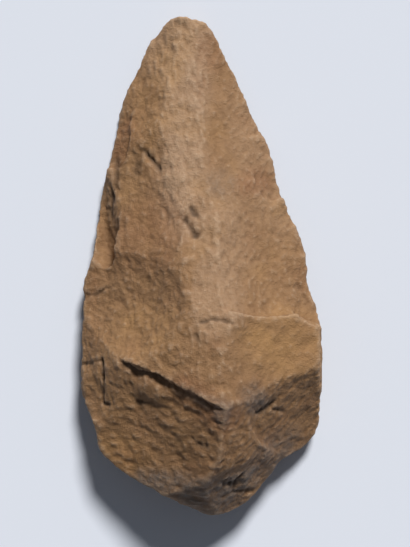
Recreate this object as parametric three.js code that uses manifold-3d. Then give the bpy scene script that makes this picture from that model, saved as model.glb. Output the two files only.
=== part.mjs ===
// A stone hand axe lying on its flatter face: tip toward +Y, butt toward -Y, +Z up, in millimetres.
//
// The stone is made the way a knapper makes one. A smooth cobble is stretched onto the plan of the
// tool, and then flake after flake is struck off it. Each flake leaves a shallow, hollow scar, and
// the arrises of the finished stone are the lines where neighbouring scars meet.

import * as THREE from 'three';
import { mergeVertices } from 'three/addons/utils/BufferGeometryUtils.js';
import Module from 'manifold-3d';

const wasm = await Module();
wasm.setup();

// ---------------------------------------------------------------- driving dimensions

const STONE = { name: 'hand_axe', color: 0x9a6c45, roughness: 0.62, metalness: 0 };

// The rim, where the upper and lower faces meet, as [x, y, height above the ground].
const RIM = [
  // the blunt tip and the right-hand edge
  [-9.2, 101.5, 8], [-1.4, 100.4, 8.5], [3.6, 97.8, 7.5], [7.2, 92.2, 6.5], [12.7, 80.6, 5.5],
  [19.3, 67, 5], [23, 57.9, 5], [28.1, 48.9, 5.5], [30.9, 35.4, 6.5], [35.7, 23.2, 8],
  [40.7, 10.6, 9], [43.2, 0.5, 11], [43.1, -5.5, 12], [45.4, -13.1, 13.5], [47.6, -21.1, 15],
  [48.2, -37.9, 15.5], [47.8, -51.8, 12], [46.8, -66, 6.5],
  // the butt, from right to left
  [40.5, -73.6, 8], [37, -74.9, 9.5], [31.5, -78, 12], [28.7, -82, 13], [23, -89.4, 14],
  [18.5, -93.7, 15], [13.3, -96.7, 16], [5, -98.5, 18], [-4.2, -95, 21],
  [-17.8, -87.6, 23.2], [-30, -81.6, 21.2], [-36.6, -76.4, 19.4],
  // the left-hand edge, back up to the tip
  [-40.6, -70.6, 17.8], [-42, -63.6, 16.5], [-45.9, -55.9, 16], [-47.7, -49.6, 15],
  [-48.2, -39, 14], [-47.7, -26.7, 12.5], [-47.4, -15.5, 11], [-46.9, -5.1, 8.5], [-43.7, 4.2, 6.5],
  [-42.3, 15.8, 5.5], [-40.8, 26.6, 5], [-38.1, 38.8, 4.5], [-35.6, 49.9, 4], [-33.1, 60.9, 4],
  [-30.3, 72.3, 4], [-24.3, 84, 4.5], [-20.8, 92.2, 5], [-17.8, 95.9, 6], [-12.8, 100.6, 7.5],
];
const EDGE_THICKNESS = 1.6; // blunt, worn band left between the upper and lower scars

// The cobble before knapping, a little larger than the finished stone.
const COBBLE = {
  around: 188, // facets round the plan
  down: 24, // rings from the top to the underside
  girth: 1.012, // draws the rings beside the rim out to it, which leaves a blunt edge
  spineFrom: -46, // the rings close in on a spine that runs along Y between these two places
  spineTo: 74,
  spineDrift: -0.11, // how far the spine strays to the left for each millimetre toward the tip
  crownAtTip: 18,
  crownAtButt: 58,
  belly: -7,
};

const FLAKE = {
  cell: 5.5, // size of the facets of a scar
  fewestCells: 4,
  mostCells: 12,
  lid: 60, // height of the waste above the scar
  bulb: 0.25, // how much the hollow is shifted toward the struck edge
};

const GROUND = { size: 300, depth: 40 };

// Two neighbouring flakes are never alike: sizes that turn through the golden angle don't repeat.
const GOLDEN_ANGLE = Math.PI * (3 - Math.sqrt(5));
const uneven = (size, share, k, phase = 0) => size * (1 + share * Math.sin(k * GOLDEN_ANGLE + phase));

// ---------------------------------------------------------------- solids

function solidFrom(geometry) {
  geometry.deleteAttribute('normal');
  geometry.deleteAttribute('uv');
  const welded = mergeVertices(geometry, 1e-4);
  return new wasm.Manifold(new wasm.Mesh({
    numProp: 3,
    vertProperties: Float32Array.from(welded.attributes.position.array),
    triVerts: Uint32Array.from(welded.index.array),
  }));
}

function geometryFrom(solid) {
  const { vertProperties, triVerts } = solid.getMesh();
  const geometry = new THREE.BufferGeometry();
  geometry.setAttribute('position', new THREE.BufferAttribute(vertProperties, 3));
  geometry.setIndex(new THREE.BufferAttribute(triVerts, 1));
  return geometry;
}

const rimCurve = new THREE.CatmullRomCurve3(
  RIM.map(([x, y, z]) => new THREE.Vector3(x, y, z)), true, 'centripetal',
);

// A point on the rim, found by its place along Y on the right (+X) or left (-X) edge.
const rimSamples = rimCurve.getPoints(1200);
function edge(side, y) {
  const wanted = side === 'right' ? 1 : -1;
  let best = rimSamples[0];
  let gap = Infinity;
  for (const point of rimSamples) {
    const middle = COBBLE.spineDrift * point.y;
    if (Math.sign(point.x - middle) === wanted && Math.abs(point.y - y) < gap) {
      gap = Math.abs(point.y - y);
      best = point;
    }
  }
  return best.toArray();
}

// ---------------------------------------------------------------- the cobble

function makeCobble() {
  const geometry = new THREE.SphereGeometry(1, COBBLE.around, COBBLE.down);
  geometry.rotateX(Math.PI / 2); // poles on Z
  const places = geometry.attributes.position;
  const direction = new THREE.Vector3();
  const tipY = RIM[0][1];
  for (let i = 0; i < places.count; i += 1) {
    direction.fromBufferAttribute(places, i);
    const outward = Math.min(1, COBBLE.girth * Math.hypot(direction.x, direction.y));
    const turn = (Math.atan2(direction.y, direction.x) / (2 * Math.PI) + 1) % 1;
    // the rim is listed clockwise from the tip, the sphere turns anticlockwise from +X
    const rim = rimCurve.getPoint((1.25 - turn) % 1);
    const spineY = THREE.MathUtils.clamp(rim.y, COBBLE.spineFrom, COBBLE.spineTo);
    const x = THREE.MathUtils.lerp(COBBLE.spineDrift * spineY, rim.x, outward);
    const y = THREE.MathUtils.lerp(spineY, rim.y, outward);
    const toButt = THREE.MathUtils.clamp((tipY - y) / (tipY - COBBLE.spineFrom), 0, 1);
    const crown = THREE.MathUtils.lerp(COBBLE.crownAtTip, COBBLE.crownAtButt, toButt);
    const reach = direction.z > 0 ? crown - rim.z : rim.z - COBBLE.belly;
    places.setXYZ(i, x, y, rim.z + reach * direction.z);
  }
  return solidFrom(geometry);
}

// ---------------------------------------------------------------- flake scars

// The solid that one flake takes with it. Its underside is the scar: it leaves the stone level with
// `from`, dips by `hollow` (deepest near the struck edge, at the bulb), and comes up to `to`.
// Across its `width` it rises by `bow` to either side. `roll` lifts its left-hand side, in degrees,
// as seen along the flake. `under` strikes the lower face. `past` is how far the scar runs on
// beyond `to`, as a share of its length; none leaves a step. `rounding` draws the plan of the flake
// from a rectangle toward an ellipse.
function flake({
  from, to, width, hollow = 1, bow = 1, roll = 0, past = 0.5, before = 0.3, flare = 1.7,
  rounding = 0.35, under = false,
}) {
  const start = new THREE.Vector3(...from);
  const end = new THREE.Vector3(...to);
  const length = start.distanceTo(end);
  const heading = end.clone().sub(start).normalize();
  const upward = new THREE.Vector3(0, 0, under ? -1 : 1);
  const side = new THREE.Vector3().crossVectors(upward, heading).normalize();
  side.applyAxisAngle(heading, THREE.MathUtils.degToRad(roll));
  const normal = new THREE.Vector3().crossVectors(heading, side);

  const run = length * (1 + before + past);
  const span = width * flare;
  const cells = (size) => THREE.MathUtils.clamp(
    Math.round(size / FLAKE.cell), FLAKE.fewestCells, FLAKE.mostCells,
  );
  const geometry = new THREE.BoxGeometry(2, 2, 2, cells(run), cells(span), 1);
  const places = geometry.attributes.position;
  for (let i = 0; i < places.count; i += 1) {
    const a = places.getX(i);
    const b = places.getY(i);
    const along = (a * (1 - rounding * b * b * 0.5) + 1) * 0.5 * run - length * before;
    const across = b * (1 - rounding * a * a * 0.5) * 0.5 * span;
    const s = (2 * along) / length - 1;
    const t = (2 * across) / width;
    const bulb = 1 - FLAKE.bulb * THREE.MathUtils.clamp(s, -1, 1);
    const scar = hollow * (s * s - 1) * bulb + bow * t * t;
    places.setXYZ(i, along, across, places.getZ(i) < 0 ? scar : FLAKE.lid);
  }
  geometry.applyMatrix4(new THREE.Matrix4().makeBasis(heading, side, normal));
  geometry.translate(start.x, start.y, start.z);
  return solidFrom(geometry);
}

// ---------------------------------------------------------------- upper face

const upperScars = [
  // crest strip, from the tip to the swelling of the stone
  { from: [-6, 99.5, 9.8], to: [-8, 48, 20], width: 22, hollow: 0.6, bow: 0.6, past: 0.1 },
  { from: [-8.5, 52, 19.5], to: [0.5, 12, 31.5], width: 26, hollow: 0.6, bow: 1.2, past: 0.2, before: 0.1 },
  // right-hand facets, from the tip down
  { from: [7.4, 90, 6.8], to: [-0.8, 87.5, 11.4], width: 13, hollow: 0.5, bow: 0.7, past: 0.3 },
  { from: [18.9, 66, 5.9], to: [-1.5, 65, 16.2], width: 56, hollow: 0.6, bow: 1.2, roll: 13 },
  { from: [38.9, 14.9, 9.3], to: [5.7, 17, 31], width: 44, hollow: 1.2, bow: 1.2, roll: 15 },
  { from: [45, -11.5, 13.2], to: [34.9, -6.5, 22], width: 12, hollow: 1, bow: 1.6, past: 0.3 },
  { from: [48, -31, 27], to: [9.7, -31, 46], width: 44, hollow: 1.4, bow: 1.6, roll: 4 },
  // middle, between the crest and the butt
  { from: [1.7, 17, 31], to: [4, -30, 47], width: 34, hollow: 0.6, bow: 1.2, past: 0.2, before: 0.1 },
  { from: [-29.5, -31, 36], to: [4, -46, 49], width: 36, hollow: 0.8, bow: 0.6, past: 0.3 },
  { from: [4.5, -22, 45], to: [7, -54, 50.4], width: 24, hollow: 0.3, bow: 1.2, before: 0.1 },
  // left-hand facets, from the tip down
  { from: [-29.3, 72.5, 5], to: [-12.6, 70.5, 15.6], width: 56, hollow: 0.6, bow: 1.2, roll: -13 },
  {
    from: [-35.6, 26, 13.2], to: [-5.3, 27, 28], width: 38, hollow: 0.8, bow: 1.2, roll: -12,
    before: 0.5, flare: 2,
  },
  { from: [-40, 32, 5.8], to: [-36, 33, 11.4], width: 38, hollow: 0.3, bow: 0.7, roll: -4 },
  {
    from: [-47, -10.5, 11.5], to: [-3.8, -8.5, 40.3], width: 33, hollow: 2.8, bow: 3, roll: -8,
    rounding: 0.15,
  },
  { from: [-47.6, -27, 12.8], to: [-31, -26, 33], width: 22, hollow: 0.8, bow: 1.2 },
];

// ---------------------------------------------------------------- butt

const buttScars = [
  // great scar over the left-hand side of the butt, which ends in a step under the highest ridge
  {
    from: [-23.7, -85.7, 25], to: [-10.5, -43.7, 41.5], width: 50, hollow: 1.2, bow: 0.8, roll: -21,
    past: 0, rounding: 0.08,
  },
  // corner between the left-hand edge and the butt
  { from: [-48.2, -46, 15.8], to: [-34, -42.5, 28.5], width: 18, hollow: 0.6, bow: 1, roll: 4 },
  // right-hand side of the butt
  { from: [42, -68, 18.8], to: [14.6, -51.4, 46.3], width: 36, hollow: 1.2, bow: 1, past: 0.3 },
  { from: [46.8, -60, 12], to: [33.5, -46.5, 31], width: 26, hollow: 0.8, bow: 1.2 },
  { from: [36.6, -77.5, 10], to: [28.5, -70, 24], width: 26, hollow: 0.5, bow: 0.8 },
  { from: [23, -91.5, 14.4], to: [13.5, -79, 32], width: 27, hollow: 0.5, bow: 0.8, past: 0.8 },
  // rough strip of rind along the foot of the butt
  { from: [-5, -95.4, 22], to: [-0.5, -85.9, 34.5], width: 40, hollow: -0.4, bow: 0.6, roll: 12, past: 0.9 },
];

// ---------------------------------------------------------------- edge

// Short steep flakes, struck one beside the next along a stretch of the upper edge. Their widths
// and runs wander by these shares of `pitch` and `reach`, and each runs a little toward the butt.
const TRIM = { unevenWidth: 0.3, unevenRun: 0.25, slant: 0.2, hollow: 0.3, bow: 0.5 };

function trimmedEdge({ side, firstY, lastY, pitch, reach, lean, bite }) {
  const scars = [];
  const inward = side === 'right' ? -1 : 1;
  for (let y = firstY, k = 0; y > lastY; k += 1) {
    const width = uneven(pitch, TRIM.unevenWidth, k);
    const run = uneven(reach, TRIM.unevenRun, k, 1);
    const [rimX, rimY, rimZ] = edge(side, y - width / 2);
    const low = rimZ - bite;
    scars.push({
      from: [rimX, rimY, low],
      to: [rimX + inward * run, rimY - TRIM.slant * run, low + lean * run],
      width, hollow: TRIM.hollow, bow: TRIM.bow, past: 0.2, flare: 1.3,
    });
    y -= width;
  }
  return scars;
}

const edgeScars = [
  ...trimmedEdge({ side: 'right', firstY: 84, lastY: 2, pitch: 13, reach: 6, lean: 0.78, bite: 0.2 }),
  ...trimmedEdge({ side: 'left', firstY: 88, lastY: 50, pitch: 11, reach: 5, lean: 0.85, bite: 0.1 }),
];

// ---------------------------------------------------------------- underside

// The lower face: long flat scars struck in from all round the rim, which leave a patch of the old
// surface in the middle for the stone to lie on.
const UNDER = {
  scars: 15,
  firstAt: 0.35, // place of the first scar along the rim, as a share of one scar's stretch
  width: 36,
  unevenWidth: 0.15,
  reach: 0.74, // how far the scars come in from the rim toward the middle line
  unevenReach: 0.12,
  hollow: 1,
  unevenHollow: 0.5,
  bow: 1.4,
  endHeight: 0.6,
  middleX: 4, // the middle line, which draws in from the ends of the stone
  middleY: -14,
  middleSpread: 0.5,
};

function undersideScars() {
  const scars = [];
  const rimAt = (place) => rimCurve.getPointAt((place / UNDER.scars + 1) % 1);
  for (let k = 0; k < UNDER.scars; k += 1) {
    const place = k + UNDER.firstAt;
    const rim = rimAt(place);
    // the scar starts below the lowest place that the rim has along it
    const low = Math.min(rimAt(place - 0.5).z, rim.z, rimAt(place + 0.5).z) - EDGE_THICKNESS;
    const middle = new THREE.Vector3(
      UNDER.middleX + COBBLE.spineDrift * rim.y, UNDER.middleY + UNDER.middleSpread * rim.y, 0,
    );
    const end = rim.clone().lerp(middle, uneven(UNDER.reach, UNDER.unevenReach, k));
    scars.push({
      from: [rim.x, rim.y, low],
      to: [end.x, end.y, UNDER.endHeight],
      width: uneven(UNDER.width, UNDER.unevenWidth, k, 2),
      hollow: uneven(UNDER.hollow, UNDER.unevenHollow, k, 4),
      bow: UNDER.bow,
      under: true,
    });
  }
  return scars;
}

// ---------------------------------------------------------------- knapping

function knap() {
  let stone = makeCobble();
  for (const scar of [...upperScars, ...buttScars, ...edgeScars, ...undersideScars()]) {
    stone = stone.subtract(flake(scar));
  }
  const ground = new THREE.BoxGeometry(GROUND.size, GROUND.size, GROUND.depth);
  ground.translate(0, 0, -GROUND.depth / 2);
  return stone.subtract(solidFrom(ground));
}

// The origin is on the ground, under the middle of the stone's length and width.
function centred(solid) {
  const { min, max } = solid.boundingBox();
  return solid.translate([-(min[0] + max[0]) / 2, -(min[1] + max[1]) / 2, -min[2]]);
}

const material = new THREE.MeshStandardMaterial(
  { color: STONE.color, roughness: STONE.roughness, metalness: STONE.metalness },
);
const mesh = new THREE.Mesh(geometryFrom(centred(knap())), material);
mesh.name = STONE.name;

const handAxe = new THREE.Group();
handAxe.add(mesh);

export default handAxe;
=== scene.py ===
# %% [markdown]
# # A stone hand axe
# A hand axe is a fist-long tool of tough stone, here brown quartzite. Its maker struck flakes off
# a cobble from all round the rim. Every flake left a shallow scar, and thousands of years of wind,
# sand and soil have since rounded the arrises and stained the grain.
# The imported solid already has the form, the scars and the real size. This lesson gives it its skin.

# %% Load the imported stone
import math

import bpy
import numpy as np
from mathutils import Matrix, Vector, noise


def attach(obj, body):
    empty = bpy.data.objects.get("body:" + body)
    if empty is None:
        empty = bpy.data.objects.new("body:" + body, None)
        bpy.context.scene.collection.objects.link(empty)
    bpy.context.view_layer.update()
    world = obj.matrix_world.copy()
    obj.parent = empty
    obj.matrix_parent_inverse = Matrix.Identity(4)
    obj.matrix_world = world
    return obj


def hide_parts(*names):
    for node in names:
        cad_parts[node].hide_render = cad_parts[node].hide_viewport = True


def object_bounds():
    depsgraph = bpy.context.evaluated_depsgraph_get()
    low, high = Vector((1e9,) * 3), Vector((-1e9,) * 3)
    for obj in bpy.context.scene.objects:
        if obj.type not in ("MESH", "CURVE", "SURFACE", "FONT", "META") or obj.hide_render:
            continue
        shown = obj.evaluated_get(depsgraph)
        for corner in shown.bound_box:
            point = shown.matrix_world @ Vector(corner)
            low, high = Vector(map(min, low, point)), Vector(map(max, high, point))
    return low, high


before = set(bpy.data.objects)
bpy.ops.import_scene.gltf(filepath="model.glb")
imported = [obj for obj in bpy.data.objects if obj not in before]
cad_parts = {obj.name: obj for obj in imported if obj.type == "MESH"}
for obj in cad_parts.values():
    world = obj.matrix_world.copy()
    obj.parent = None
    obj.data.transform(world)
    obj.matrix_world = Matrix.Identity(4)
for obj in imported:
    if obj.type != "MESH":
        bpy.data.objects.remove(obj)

MM = 0.001  # Blender works in metres, and the sizes below are in millimetres
cad_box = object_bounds()
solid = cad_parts["hand_axe"]
print("solid:", len(solid.data.vertices), "vertices, box", cad_box)

# %% [markdown]
# ## Floor, lamp and camera
# The stone lies on pale board. One soft lamp stands beyond the tip and a little to the right, about
# 42 degrees up, so that the upper face is lit and the steep butt throws a long shadow. A dim pale
# sky fills the shade. The camera hangs straight above the stone and looks down.

# %% Camera
CAMERA_HEIGHT = 600 * MM
CAMERA_OVER = (1.7 * MM, -4.0 * MM)
LENS = 96.25  # on a sensor 36 mm long, this takes in 224 mm at the height of the floor

camera = bpy.data.objects.new("camera", bpy.data.cameras.new("camera"))
camera.data.lens = LENS
camera.location = (*CAMERA_OVER, CAMERA_HEIGHT)
bpy.context.scene.collection.objects.link(camera)
bpy.context.scene.camera = camera
print("camera", tuple(camera.location))

# %% Lamp and sky
TO_LAMP = Vector((0.205, 0.715, 0.669)).normalized()
LAMP_ANGLE = math.radians(14)  # how wide the lamp looks from the stone, which softens the shadow
LAMP_STRENGTH = 3.95
SKY_COLOUR = (0.84, 0.90, 1.0, 1.0)
SKY_STRENGTH = 0.115

lamp = bpy.data.objects.new("lamp", bpy.data.lights.new("lamp", "SUN"))
lamp.data.energy = LAMP_STRENGTH
lamp.data.angle = LAMP_ANGLE
lamp.data.color = (1.0, 0.975, 0.94)
lamp.rotation_euler = TO_LAMP.to_track_quat("Z", "Y").to_euler()
bpy.context.scene.collection.objects.link(lamp)

sky = bpy.data.worlds.new("sky")
sky.use_nodes = True
sky.node_tree.nodes["Background"].inputs["Color"].default_value = SKY_COLOUR
sky.node_tree.nodes["Background"].inputs["Strength"].default_value = SKY_STRENGTH
bpy.context.scene.world = sky
bpy.context.scene.view_settings.view_transform = "Standard"
print("lamp", LAMP_STRENGTH, "sky", SKY_STRENGTH)

# %% Floor
FLOOR_SIZE = 3.0

floor_mesh = bpy.data.meshes.new("floor")
half = FLOOR_SIZE / 2
corners = [(-half, -half, 0), (half, -half, 0), (half, half, 0), (-half, half, 0)]
floor_mesh.from_pydata(corners, [], [(0, 1, 2, 3)])
floor = bpy.data.objects.new("floor", floor_mesh)
bpy.context.scene.collection.objects.link(floor)
board = bpy.data.materials.new("pale_board")
board.use_nodes = True
board.node_tree.nodes["Principled BSDF"].inputs["Base Color"].default_value = (0.75, 0.80, 0.90, 1)
board.node_tree.nodes["Principled BSDF"].inputs["Roughness"].default_value = 0.8
floor.data.materials.append(board)

# %% [markdown]
# ## A finer skin over the solid
# The solid is made of flat facets a few millimetres wide, too coarse for grain. A voxel remesh
# wraps it in an even net of small squares, which can then be smoothed and pushed about. It works
# on a copy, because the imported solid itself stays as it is.

# %% Remesh a copy
VOXEL = 0.7 * MM  # the side of the small squares of the net; close to the finest net that stays under 200 000 triangles

stone = solid.copy()
stone.data = solid.data.copy()
stone.name = "hand_axe_skin"
for key in [k for k in stone.keys() if k.startswith("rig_")]:
    del stone[key]
stone.parent = None
bpy.context.scene.collection.objects.link(stone)
remesh = stone.modifiers.new("net", "REMESH")
remesh.mode = "VOXEL"
remesh.voxel_size = VOXEL
net = bpy.data.meshes.new_from_object(stone.evaluated_get(bpy.context.evaluated_depsgraph_get()))
stone.modifiers.clear()
stone.data = net
stone.data.name = "hand_axe_skin"
print("net:", len(net.vertices), "vertices,", sum(len(p.vertices) - 2 for p in net.polygons), "triangles")

# %% Helpers that read and write the net as arrays
def read_points():
    flat = np.empty(len(net.vertices) * 3)
    net.vertices.foreach_get("co", flat)
    return flat.reshape(-1, 3) / MM


def write_points(points):
    net.vertices.foreach_set("co", (points * MM).ravel())
    net.update()


def read_normals():
    flat = np.empty(len(net.vertices) * 3)
    net.vertex_normals.foreach_get("vector", flat)
    return flat.reshape(-1, 3)


ends = np.empty(len(net.edges) * 2, dtype=np.int32)
net.edges.foreach_get("vertices", ends)
ends = ends.reshape(-1, 2)
neighbours = np.bincount(ends.ravel(), minlength=len(net.vertices))


def soften(values, rounds, share=1.0):
    """Draws every vertex's value toward the mean of its neighbours', that many times."""
    values = np.array(values, dtype=float)
    columns = values.reshape(len(values), -1)
    share = np.broadcast_to(np.asarray(share, dtype=float).reshape(-1, 1), (len(values), 1))
    for _ in range(rounds):
        for c in range(columns.shape[1]):
            total = np.bincount(ends[:, 0], columns[ends[:, 1], c], len(columns))
            total += np.bincount(ends[:, 1], columns[ends[:, 0], c], len(columns))
            columns[:, c] += 0.5 * share[:, 0] * (total / neighbours - columns[:, c])
    return columns.reshape(values.shape)


def ramp(values, low, high):
    """0 below low, 1 above high, and a smooth rise between."""
    t = np.clip((values - low) / (high - low), 0, 1)
    return t * t * (3 - 2 * t)


print("edges", len(ends))

# %% [markdown]
# ## Arrises, rounded a little
# Where two scars meet there is an arris. On the real stone it was razor sharp once, and is now worn
# round, but it is still the line that the eye follows. Smoothing alone would wipe it out, so each
# vertex is first told how sharply the surface turns there, and the sharp ones are smoothed least.

# %% Round off the facets and keep the arrises
FACET_ROUNDS = 70
KEPT_AT_ARRIS = 0.93
ARRIS_TURN = (0.05, 0.14)  # how far the normal turns between neighbours on a weak and a full arris

write_points(soften(read_points(), 2))
normals = soften(read_normals(), 2)
normals /= np.linalg.norm(normals, axis=1, keepdims=True)
turn = np.linalg.norm(normals[ends[:, 0]] - normals[ends[:, 1]], axis=1)
sharp = np.zeros(len(normals))
np.maximum.at(sharp, ends[:, 0], turn)
np.maximum.at(sharp, ends[:, 1], turn)
arris = ramp(soften(sharp, 3), *ARRIS_TURN)
write_points(soften(read_points(), FACET_ROUNDS, 1 - KEPT_AT_ARRIS * arris))
base = read_points()
facing = read_normals()
print("arris share", round(float(arris.mean()), 3))

# %% [markdown]
# ## Fields: where on the stone an effect lives
# Every effect below is a number for each vertex between 0 and 1, a field. `zone` is a soft-edged
# ellipse in the plan, turned by some degrees. `near` is a soft band along a line of a few points.
# `clouds` and `strokes` are noise: even blotches, or blotches drawn out along one direction like
# the grain of quartzite.

# %% Fields
X, Y, Z = base.T
SEED_STEP = 37.0  # moves each noise to a part of its own


def zone(x, y, half_wide, half_long, turned=0.0, fade=0.5):
    a = math.radians(turned)
    u = (math.cos(a) * (X - x) + math.sin(a) * (Y - y)) / half_wide
    v = (-math.sin(a) * (X - x) + math.cos(a) * (Y - y)) / half_long
    return 1 - ramp(np.hypot(u, v), 1 - fade, 1 + fade)


def along(path):
    """Distance in the plan from a line of points, how far along it, and which side of it."""
    path = np.array(path, dtype=float)
    best = np.full(len(X), 1e9)
    place = np.zeros(len(X))
    side = np.zeros(len(X))
    for k in range(len(path) - 1):
        a, b = path[k, :2], path[k + 1, :2]
        step = b - a
        t = np.clip(((X - a[0]) * step[0] + (Y - a[1]) * step[1]) / (step @ step), 0, 1)
        dx, dy = X - a[0] - t * step[0], Y - a[1] - t * step[1]
        away = np.hypot(dx, dy)
        closer = away < best
        best[closer] = away[closer]
        place[closer] = ((k + t) / (len(path) - 1))[closer]
        side[closer] = (step[0] * dy - step[1] * dx)[closer]
    return best, place, np.sign(side)


UPPER = ramp(facing[:, 2], -0.1, 0.15)  # 1 on every surface that the sky sees


def near(path, width, fade=0.6):
    away, _, _ = along(path)
    return (1 - ramp(away / width, 1 - fade, 1 + fade)) * UPPER


def clouds(size, seed, octaves=1, stretch=(1.0, 1.0, 1.0), turned=0.0):
    """Noise from about -1 to 1, with blotches about `size` mm across, each octave half as large."""
    a = math.radians(turned)
    u = (math.cos(a) * X + math.sin(a) * Y) / stretch[0]
    v = (-math.sin(a) * X + math.cos(a) * Y) / stretch[1]
    w = Z / stretch[2]
    places = np.stack([u, v, w], axis=1) / size + seed * SEED_STEP
    total = np.zeros(len(X))
    for octave in range(octaves):
        scale = 2.0 ** octave
        total += np.array([noise.noise(p * scale) for p in map(Vector, places)]) / scale
    return total


print("fields ready for", len(X), "vertices")

# %% [markdown]
# ## Grain and ripples
# Quartzite is sand cemented by quartz, so a flake scar on it isn't glassy. It shows short strokes
# about a millimetre or two wide that run with the blow, and broader ripples that ring the point
# where the flake was struck. The strokes run one way near the tip, another way beside the butt,
# and almost level on the butt. Each way is its own noise, and zones say where each one rules.

# %% Where each grain rules
ON_BUTT = ramp(-(Y + 0.35 * np.abs(X) + 0.2 * X), 42, 52) * UPPER
CREST = zone(-6, 62, 9, 42, -5) * UPPER
SMOOTH_FACET = zone(33, -31, 16, 13, 0, 0.35) * UPPER
MIDDLE = zone(8, -10, 24, 30, 0, 0.6) * UPPER
UNDER = 1 - UPPER

strokes_down = clouds(1.7, 1, 1, (1.0, 2.6, 1.0), 12)
strokes_left = clouds(1.7, 2, 1, (1.0, 2.4, 1.0), 62)
strokes_right = clouds(1.8, 3, 1, (1.0, 2.4, 1.0), -40)
strokes_level = clouds(1.9, 4, 1, (2.6, 1.0, 1.0), 0)
fine = clouds(1.3, 5)
rough = clouds(4.5, 6, 2)
swell = clouds(13, 7, 2)

# %% Press the grain into the skin
SWELL_DEPTH, LUMP_DEPTH, STROKE_DEPTH, FINE_DEPTH, RIPPLE_DEPTH = 0.75, 0.42, 0.46, 0.2, 0.2

to_left = ramp(-X - 0.35 * Y, -10, 14) * (1 - ON_BUTT)
to_right = ramp(X - 6 + 0.1 * Y, 0, 14) * (1 - ON_BUTT)
down = np.clip(1 - to_left - to_right, 0, 1) * (1 - ON_BUTT)
strokes = (down * strokes_down + 0.6 * to_left * (strokes_left + strokes_down)
           + 0.8 * to_right * strokes_right + ON_BUTT * strokes_level)

RIPPLE_LENGTH = 5.2
BLOW = (-34, -92)  # the great flake of the butt was struck beside its left corner
ring = np.hypot(X - BLOW[0], Y - BLOW[1]) + 2.2 * rough
ripples = np.sin(2 * math.pi * ring / RIPPLE_LENGTH) * (0.55 + 0.45 * clouds(11, 8))

height = SWELL_DEPTH * swell + LUMP_DEPTH * rough
height += STROKE_DEPTH * strokes * (1 - 0.45 * SMOOTH_FACET) * (1 + 0.35 * CREST + 0.2 * MIDDLE)
height += FINE_DEPTH * fine * (1 - 0.4 * SMOOTH_FACET)
height += RIPPLE_DEPTH * ripples * ON_BUTT * zone(-8, -66, 30, 22, 0, 0.5)
height *= 1 - 0.35 * arris * ON_BUTT
print("grain from", round(height.min(), 2), "to", round(height.max(), 2), "mm")

# %% [markdown]
# ## Cracks, steps and pits
# The things that make this stone itself and no other: a few short cracks and hinge steps, a
# recess at its left corner, and the ledge under the highest ridge where the great flake of the
# butt broke off short. Each is a line of a few points with a width and a depth. A crack is cut to
# both sides of its line, and a step only to one side, so that its other lip stays proud.

# %% Carve along lines
CUT_SHARE = 0.75  # a crack silts up, so it is this much of its first depth
# painted shade: the share of a cut's darkness that goes into the colour
SHADE_SHARE = 0.8
RAGGED = (0.45, 0.35)  # how far lumps and strokes push a crack's edge, as shares of its width

shade_marks = np.zeros(len(X))  # how dark the painted shade in the cracks and under the ledge is


def carve(path, width, depth, dark=0.8, one_side=0, taper=True, shape=1.6):
    """Cuts along the line. one_side is 1 to cut only on its left, -1 only on its right."""
    away, place, side = along(path)
    away = away + width * (RAGGED[0] * rough + RAGGED[1] * strokes_down)
    cut = np.clip(1 - (np.clip(away, 0, None) / width), 0, 1) ** shape * UPPER
    if taper:
        cut = cut * np.clip(np.sin(math.pi * np.clip(place, 0.02, 0.98)) * 2.2, 0, 1)
    if one_side:
        cut = cut * ramp(side * one_side * np.clip(away, 0, 1), -0.15, 0.15)
    height[:] -= CUT_SHARE * depth * cut
    # painted shade: the cut is also darkened in the colour, as far as dark says
    np.maximum(shade_marks, SHADE_SHARE * dark * cut, out=shade_marks)


CRACKS = [
    # upper left, a straight slit below the crest
    dict(path=[(-24, 46.5), (-20, 42), (-15.5, 36)], width=1.6, depth=1.5, dark=1),
    dict(path=[(-25.5, 48), (-26.5, 43), (-25, 38), (-27.5, 33)], width=3.2, depth=0.9, dark=0.5),
    # the middle of the crest
    dict(path=[(-7, 18.5), (-4, 14.5), (-0.5, 9.5)], width=2.4, depth=2.2, dark=1),
    dict(path=[(-4.5, 23), (-2.5, 19.5), (0, 17)], width=1.7, depth=1.1, dark=0.8),
    # inside the left rim
    dict(path=[(-35, 44), (-34, 39), (-35, 30), (-37, 17)], width=2.4, depth=1.2, dark=0.7),
    dict(path=[(-47, -11.5), (-42.5, -12), (-38.5, -9.5), (-33, -8)], width=2, depth=1.3, one_side=-1),
    # across the middle, above the butt
    dict(path=[(-3, -23), (4.5, -21), (9, -21.7), (14.5, -23.5)], width=1.2, depth=0.8, dark=0.7),
    dict(path=[(-3, -26.5), (0.5, -31)], width=1.4, depth=0.7, dark=0.6),
    # right-hand side of the butt
    dict(path=[(21, -58.5), (25, -56.5), (30.5, -53)], width=1.8, depth=1.5, dark=1),
    dict(path=[(27, -56.4), (31, -57.6), (33.7, -58.7)], width=1.3, depth=1, dark=0.8),
    # the face of the butt
    dict(path=[(-4, -66), (-1.5, -69), (3.5, -70.5)], width=1.6, depth=1, dark=0.7),
    dict(path=[(4.5, -59.5), (12, -62)], width=1.3, depth=0.8, dark=0.8),
    dict(path=[(-26, -54), (-20, -54.4)], width=1.6, depth=1, dark=0.8),
    dict(path=[(7, -85.3), (12, -86), (17.5, -82)], width=2.6, depth=1.6, dark=1),
    dict(path=[(11.5, -90), (22, -90)], width=1.7, depth=1.1, dark=0.7),
    # scallop on the right-hand edge
    dict(path=[(36.5, -9.5), (39.5, -8), (44.5, -18)], width=1.6, depth=0.7, dark=0.2),
]
for crack in CRACKS:
    carve(**crack)
print("cut", len(CRACKS), "cracks and steps, deepest", round(height.min(), 2), "mm")

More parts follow.
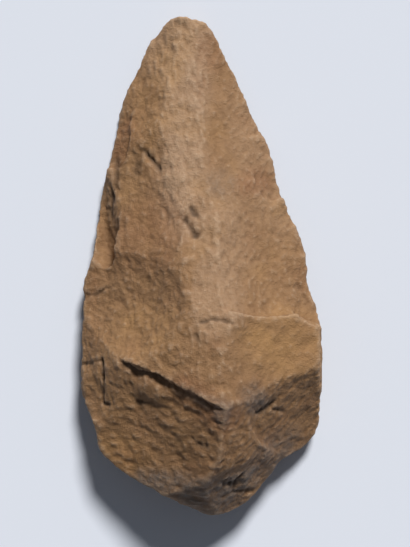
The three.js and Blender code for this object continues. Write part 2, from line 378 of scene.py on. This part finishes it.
# %% The inset at the left corner
INSET_DROP = 0.5
INSET_TOP = [(-49, -40.5), (-39.5, -38)]
INSET_CRACK = [(-39.2, -38), (-38.8, -46), (-38.9, -55), (-36.5, -55.4)]
inset = ramp(-Y, 38.5, 40) * ramp(Y, -56, -54) * ramp(-X, 39.2, 40) * UPPER
height -= INSET_DROP * inset
carve(INSET_TOP, 1.2, 0.9, dark=0.8, taper=False)
carve(INSET_CRACK, 1.3, 1.8, dark=1, taper=False)

# %% The ledge under the highest ridge
RIDGE = [(-29, -38), (-24, -40.5), (-15, -43), (-12, -45), (-6, -48.3), (0, -50.5), (7, -54)]
LEDGE_DROP = 1.7
LEDGE_WIDTH = 3.6  # at its left end, and 2 mm less at its right
KNOB_RISE = 1.1

away, place, side = along(RIDGE)
away = away + 0.9 * rough + 0.5 * strokes_down
overhung = np.clip(1 - away / (LEDGE_WIDTH - 2 * place), 0, 1) ** 0.7 * ramp(-side * away, 0.2, 0.9)
height -= LEDGE_DROP * overhung * (1 - 0.7 * place) * UPPER
# painted shadow: the colour under the overhanging ledge is darkened
np.maximum(shade_marks, SHADE_SHARE * overhung * (1 - 0.9 * place) * UPPER, out=shade_marks)
knob = zone(-19, -49, 6, 3.4, -28, 0.5) * UPPER
height += KNOB_RISE * knob * (1 - overhung)
print("ledge under the ridge cut")

# %% [markdown]
# ## A chipped rim, and room to spare
# The rim of a used hand axe is nicked all along. Short noise bites the band of vertices whose
# surface faces outward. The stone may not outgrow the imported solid's box, so the last act is to
# hold every vertex inside it, and to press the patch that the stone lies on flat again.

# %% Nick the rim
OUTWARD = ramp(np.hypot(facing[:, 0], facing[:, 1]), 0.75, 0.95)
NICK_DEPTH = 0.9
nicks = np.clip(clouds(3.2, 9, 2) - 0.05, 0, None)
height -= NICK_DEPTH * nicks * OUTWARD * (1 - 0.6 * ON_BUTT)

# %% Move the skin
SINK = 0.15  # takes the whole skin in a little, so that the grain's crests stay in the box
LAST_SMOOTHING = 0.25

RESTING = ramp(-facing[:, 2], 0.97, 0.995) * ramp(-Z, -0.6, -0.1)  # the patch it lies on
height *= 1 - RESTING
height -= SINK * (1 - RESTING)
points = base + facing * height[:, None]
low, high = np.array(cad_box) / MM
write_points(np.clip(points, low, high))
write_points(soften(read_points(), 1, LAST_SMOOTHING))
points = np.clip(read_points(), low, high)


def fill_box(points):
    """Stretches the skin by a hair to reach all six sides of the solid's box again."""
    bottom, top = points.min(axis=0), points.max(axis=0)
    return low + (points - bottom) * (high - low) / (top - bottom)


write_points(fill_box(points))
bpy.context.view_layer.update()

# %% [markdown]
# ## Colours and painted shade that belong to places
# The patina isn't even. The crest is pale and sparkling, the long facets are ochre brown, the butt
# is darker and redder with a yellow corner, and grey crust clings to the foot of the butt and to
# the cracks. These are broad fields painted on the vertices, and the shader breaks them up later
# with its own fine mottle. Hollows are measured from the mesh itself: how far each vertex lies
# below the mean of its surroundings. They get painted shade, not a colour of the stone.

# %% Hollows and humps
def relief(rounds):
    now = read_points()
    return np.einsum("ij,ij->i", now - soften(now, rounds), facing)


fine_relief = relief(6)
broad_relief = relief(60)
# painted shade: this mask darkens the colour in the hollows
shaded_hollows = np.clip(ramp(-fine_relief, 0.02, 0.28) + 0.7 * ramp(-broad_relief, 0.1, 0.9), 0, 1)
humps = np.clip(ramp(fine_relief, 0.02, 0.25) + 0.5 * ramp(broad_relief, 0.15, 0.9), 0, 1)

# %% Patina fields
patches = clouds(16, 10, 2)

FOOT = [(-22, -85), (-8, -85.5), (3, -88), (18, -84)]  # where the butt meets the strip of rind


def pooled(*parts):
    """Adds fields up, each with its share."""
    return np.clip(sum(share * field for share, field in parts), 0, 1)


pale = UPPER * pooled(
    (0.95, CREST),
    (0.6, zone(-12, 88, 12, 16)),  # left of the tip
    (0.55, zone(2, 20, 14, 24, 30)),  # where the crest widens
    (0.6, zone(5, -14, 11, 15, 0, 0.4) * ramp(X, -4, -2.5)),  # the bright strip above the butt
    (0.35, zone(26, 40, 12, 30, 20)),
)
ochre = pooled(
    (0.8, SMOOTH_FACET),
    (0.9, zone(-31, -75, 12, 9, -30)),  # the yellow corner of the butt
    (0.5, zone(-24, -28, 16, 9, 20)),
    (0.4, zone(-20, 60, 8, 30, -18)),
    (0.35, ramp(patches, 0.1, 0.7)),
)
rust = UPPER * pooled(
    (0.8, near([(-6, -48), (1, -53), (8, -58)], 6)),  # along the highest ridge
    (0.7, zone(22, 33, 8, 6, 20)),
    (0.6, zone(-32, 50, 4, 9, -15)),
    (0.5, zone(4, 86, 6, 8)),  # a small scar at the tip
    (0.45, zone(-20, 12, 14, 14)),
    (0.3, ramp(-patches, 0.1, 0.7)),
)
grey = UPPER * pooled(
    (0.9, zone(20.5, -52, 5, 6, 30)),
    (0.7, zone(9, -56, 4, 5)),
    (0.75, zone(30, -76, 12, 8, 50)),
    (0.9, near(FOOT, 5)),
    (0.8, zone(3, -93, 14, 9, 0)),
    (0.5, near(RIDGE, 2.5) * ramp(X, -12, 2)),
    (0.4, zone(8, 32, 6, 5, 30)),
)
grey *= 0.55 + 0.45 * ramp(rough, -0.4, 0.4)

FIELDS = {
    "pale": pale, "ochre": ochre, "rust": rust, "grey": grey, "butt": ON_BUTT, "painted_shade": shade_marks,
    "shaded_hollows": shaded_hollows, "humps": humps, "crust": pooled((0.7, UNDER), (0.6, grey)),
}
for name, field in FIELDS.items():
    layer = net.attributes.new(name, "FLOAT", "POINT")
    layer.data.foreach_set("value", np.clip(field, 0, 1).astype(np.float32))
    print("field", name, "mean", round(float(field.mean()), 3))

# %% [markdown]
# ## Mottle, a node group used again and again
# Stone is never one colour. The group below takes a size and a stretch, and gives back a mask of
# soft blotches and one of fine specks. It is built once and placed wherever something has to be
# broken up.

# %% Node helpers
def add(tree, kind, **settings):
    """Adds a node and gives it its settings."""
    node = tree.nodes.new(kind)
    for name, value in settings.items():
        setattr(node, name, value)
    return node


def join(tree, source, target):
    tree.links.new(source, target)


def field_of(tree, name):
    return add(tree, "ShaderNodeAttribute", attribute_name=name).outputs["Fac"]


def work_out(tree, operation, *values):
    """A Math node on sockets or numbers, kept between 0 and 1."""
    node = add(tree, "ShaderNodeMath", operation=operation, use_clamp=True)
    for socket, value in zip(node.inputs, values):
        if isinstance(value, (int, float)):
            socket.default_value = value
        else:
            join(tree, value, socket)
    return node.outputs[0]


def between(tree, mask, low, high):
    """Stretches a mask so that low becomes 0 and high becomes 1."""
    node = add(tree, "ShaderNodeMapRange", interpolation_type="SMOOTHSTEP")
    join(tree, mask, node.inputs["Value"])
    node.inputs["From Min"].default_value = low
    node.inputs["From Max"].default_value = high
    return node.outputs["Result"]


def tint(tree, mask, under, colour, blend="MIX"):
    """Lays a colour over what is under it, where the mask is 1."""
    node = add(tree, "ShaderNodeMix", data_type="RGBA", blend_type=blend)
    join(tree, mask, node.inputs["Factor"])
    join(tree, under, node.inputs["A"])
    node.inputs["B"].default_value = (*colour, 1)
    return node.outputs["Result"]


# %% The mottle group
mottle = bpy.data.node_groups.new("mottle", "ShaderNodeTree")
mottle.interface.new_socket("Size", in_out="INPUT", socket_type="NodeSocketFloat").default_value = 1
mottle.interface.new_socket("Stretch", in_out="INPUT", socket_type="NodeSocketVector")
mottle.interface.new_socket("Blotches", in_out="OUTPUT", socket_type="NodeSocketFloat")
mottle.interface.new_socket("Specks", in_out="OUTPUT", socket_type="NodeSocketFloat")
entry = add(mottle, "NodeGroupInput")
result = add(mottle, "NodeGroupOutput")
place_on = add(mottle, "ShaderNodeTexCoord")
shift = add(mottle, "ShaderNodeVectorMath", operation="MULTIPLY")
join(mottle, place_on.outputs["Object"], shift.inputs[0])
join(mottle, entry.outputs["Stretch"], shift.inputs[1])
per_metre = add(mottle, "ShaderNodeMath", operation="DIVIDE")
per_metre.inputs[0].default_value = 1 / MM
join(mottle, entry.outputs["Size"], per_metre.inputs[1])
soft = add(mottle, "ShaderNodeTexNoise")
soft.inputs["Detail"].default_value = 4
soft.inputs["Roughness"].default_value = 0.6
grit = add(mottle, "ShaderNodeTexVoronoi")
for texture in (soft, grit):
    join(mottle, shift.outputs[0], texture.inputs["Vector"])
    join(mottle, per_metre.outputs[0], texture.inputs["Scale"])
join(mottle, between(mottle, soft.outputs["Fac"], 0.3, 0.7), result.inputs["Blotches"])
join(mottle, between(mottle, grit.outputs["Distance"], 0.35, 0.1), result.inputs["Specks"])


def place_mottle(tree, size, stretch=(1, 1, 1)):
    node = add(tree, "ShaderNodeGroup", node_tree=mottle)
    node.inputs["Size"].default_value = size
    node.inputs["Stretch"].default_value = stretch
    return node


print("mottle group has", len(mottle.nodes), "nodes")

# %% [markdown]
# ## Quartzite
# The brown of the stone is built up like paint: a warm mid brown, then the pale, yellow, red and
# grey fields from the vertices, each broken up by mottle, then painted shade in the hollows, lighter
# on the humps where hands and sand have rubbed, pale painted glints on the humps, and last a
# near-black painted shade in the cracks and under the ledge. The grains of quartz glint, so the
# roughness falls on small specks, most of all on the crest.

# %% Colours of the stone
MID_BROWN = (0.300, 0.165, 0.073)
PALE_TAN = (0.405, 0.262, 0.160)
OCHRE = (0.375, 0.205, 0.075)
RUST = (0.250, 0.108, 0.045)
CRUST_GREY = (0.125, 0.105, 0.092)
DEEP_BROWN = (0.140, 0.066, 0.024)
# colour of the painted shade in the cracks and under the ledge
PAINTED_SHADE_COLOUR = (0.030, 0.022, 0.017)
RUBBED = (0.480, 0.330, 0.215)
# pale colour for the painted glints on the humps
PAINTED_GLINT = (0.580, 0.450, 0.330)

# %% The material
stone_finish = bpy.data.materials.new("quartzite")
stone_finish.use_nodes = True
tree = stone_finish.node_tree
shader = tree.nodes["Principled BSDF"]
broad = place_mottle(tree, 9)
middling = place_mottle(tree, 3.2, (1, 0.6, 1))
small = place_mottle(tree, 1.3)
grains = place_mottle(tree, 0.55)

ground = add(tree, "ShaderNodeMix", data_type="RGBA")
ground.inputs["A"].default_value = (*DEEP_BROWN, 1)
ground.inputs["B"].default_value = (*MID_BROWN, 1)
join(tree, work_out(tree, "MULTIPLY_ADD", middling.outputs["Blotches"], 0.34, 0.60), ground.inputs["Factor"])
colour = ground.outputs["Result"]


def broken(name, mask, share):
    """A field from the vertices, broken up by a mottle mask and weakened to `share`."""
    lifted = work_out(tree, "MULTIPLY_ADD", mask, 0.6, 0.55)
    return work_out(tree, "MULTIPLY", work_out(tree, "MULTIPLY", field_of(tree, name), lifted), share)


colour = tint(tree, broken("pale", small.outputs["Blotches"], 0.85), colour, PALE_TAN)
colour = tint(tree, broken("ochre", broad.outputs["Blotches"], 0.75), colour, OCHRE)
colour = tint(tree, broken("rust", broad.outputs["Blotches"], 0.70), colour, RUST)
colour = tint(tree, broken("butt", broad.outputs["Blotches"], 0.22), colour, DEEP_BROWN)
colour = tint(tree, broken("crust", small.outputs["Blotches"], 0.55), colour, DEEP_BROWN)
colour = tint(tree, broken("grey", small.outputs["Blotches"], 0.85), colour, CRUST_GREY)
# painted shade in the hollows
colour = tint(tree, broken("shaded_hollows", small.outputs["Blotches"], 0.42), colour, DEEP_BROWN)
colour = tint(tree, broken("humps", small.outputs["Blotches"], 0.40), colour, RUBBED)
glints = work_out(tree, "MULTIPLY", grains.outputs["Specks"], field_of(tree, "humps"))
# painted glints: the glinting specks on the humps are also painted pale in the colour
colour = tint(tree, work_out(tree, "MULTIPLY", glints, 0.5), colour, PAINTED_GLINT)
# painted shade, almost black, in the cracks and under the ledge
colour = tint(tree, broken("painted_shade", middling.outputs["Blotches"], 1.0), colour, PAINTED_SHADE_COLOUR)
join(tree, colour, shader.inputs["Base Color"])

# %% Gloss and the finest grain
ROUGHEST = 0.78
GLINT_ROUGHNESS = 0.34
rubbed = work_out(tree, "MULTIPLY", grains.outputs["Specks"], field_of(tree, "pale"))
shine = work_out(tree, "ADD", glints, work_out(tree, "MULTIPLY", rubbed, 0.8))
gloss = add(tree, "ShaderNodeMapRange")
join(tree, shine, gloss.inputs["Value"])
gloss.inputs["To Min"].default_value = ROUGHEST
gloss.inputs["To Max"].default_value = GLINT_ROUGHNESS
join(tree, gloss.outputs["Result"], shader.inputs["Roughness"])
shader.inputs["Specular IOR Level"].default_value = 0.55

bump = add(tree, "ShaderNodeBump")
bump.inputs["Strength"].default_value = 0.8
bump.inputs["Distance"].default_value = 0.35 * MM
pitting = work_out(tree, "ADD", work_out(tree, "MULTIPLY", small.outputs["Blotches"], 0.6),
                 work_out(tree, "MULTIPLY", grains.outputs["Blotches"], 0.4))
join(tree, pitting, bump.inputs["Height"])
join(tree, bump.outputs["Normal"], shader.inputs["Normal"])

net.materials.clear()
net.materials.append(stone_finish)
net.shade_smooth()
print("quartzite has", len(tree.nodes), "nodes")

# %% Hang it on the frame
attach(stone, "root")
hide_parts("hand_axe")
